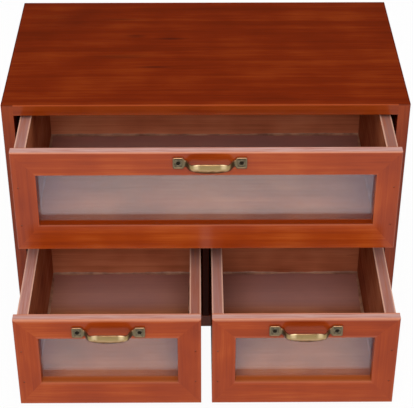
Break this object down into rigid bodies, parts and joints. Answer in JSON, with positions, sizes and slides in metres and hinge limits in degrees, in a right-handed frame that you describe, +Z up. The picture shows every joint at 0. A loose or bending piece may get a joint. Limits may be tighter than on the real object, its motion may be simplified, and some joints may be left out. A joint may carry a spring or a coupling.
{
  "type": "desktop mini drawers",
  "caption": "Small wooden tabletop cabinet with one wide drawer above two narrow ones, each with a mitred frame front, a clear pane and a brass bow pull.",
  "frame": {"origin": "centre of the case's footprint, on the surface that it stands on", "axes": "+X to the right seen from the front, +Y to the back, +Z up; the drawers come out along -Y"},
  "size_m": [0.34, 0.319, 0.239],
  "materials": {
    "case_wood": "stained red-brown and lacquered",
    "front_wood": "stained orange-brown and lacquered",
    "box_wood": "stained and thinly lacquered",
    "panel_wood": "stained thin panel",
    "clear_pane": "clear and smooth",
    "old_brass": "darkened brass, rubbed bright on the high places",
    "steel": "dark, slightly dull"
  },
  "bodies": {
    "case": {"left_side": "case_wood", "right_side": "case_wood", "top_board": "case_wood", "bottom_board": "case_wood", "middle_shelf": "case_wood", "centre_divider": "case_wood", "back_panel": "panel_wood", "case_nails": "steel", "back_nails": "steel"},
    "top_drawer": {"top_drawer_upper_rail": "front_wood", "top_drawer_lower_rail": "front_wood", "top_drawer_left_stile": "front_wood", "top_drawer_right_stile": "front_wood", "top_drawer_pane": "clear_pane", "top_drawer_left_wall": "box_wood", "top_drawer_right_wall": "box_wood", "top_drawer_back_wall": "box_wood", "top_drawer_floor": "panel_wood", "top_drawer_pull": "old_brass", "top_drawer_pull_screws": "steel", "top_drawer_nails": "steel"},
    "left_drawer": {"left_drawer_upper_rail": "front_wood", "left_drawer_lower_rail": "front_wood", "left_drawer_left_stile": "front_wood", "left_drawer_right_stile": "front_wood", "left_drawer_pane": "clear_pane", "left_drawer_left_wall": "box_wood", "left_drawer_right_wall": "box_wood", "left_drawer_back_wall": "box_wood", "left_drawer_floor": "panel_wood", "left_drawer_pull": "old_brass", "left_drawer_pull_screws": "steel", "left_drawer_nails": "steel"},
    "right_drawer": {"right_drawer_upper_rail": "front_wood", "right_drawer_lower_rail": "front_wood", "right_drawer_left_stile": "front_wood", "right_drawer_right_stile": "front_wood", "right_drawer_pane": "clear_pane", "right_drawer_left_wall": "box_wood", "right_drawer_right_wall": "box_wood", "right_drawer_back_wall": "box_wood", "right_drawer_floor": "panel_wood", "right_drawer_pull": "old_brass", "right_drawer_pull_screws": "steel", "right_drawer_nails": "steel"}
  },
  "joints": [
    {"name": "top_drawer_slide", "type": "slide", "parent": "case", "child": "top_drawer", "axis": [0, -1, 0], "range_m": [-0.0525, 0.0975]},
    {"name": "left_drawer_slide", "type": "slide", "parent": "case", "child": "left_drawer", "axis": [0, -1, 0], "range_m": [-0.118, 0.032]},
    {"name": "right_drawer_slide", "type": "slide", "parent": "case", "child": "right_drawer", "axis": [0, -1, 0], "range_m": [-0.118, 0.032]}
  ]
}
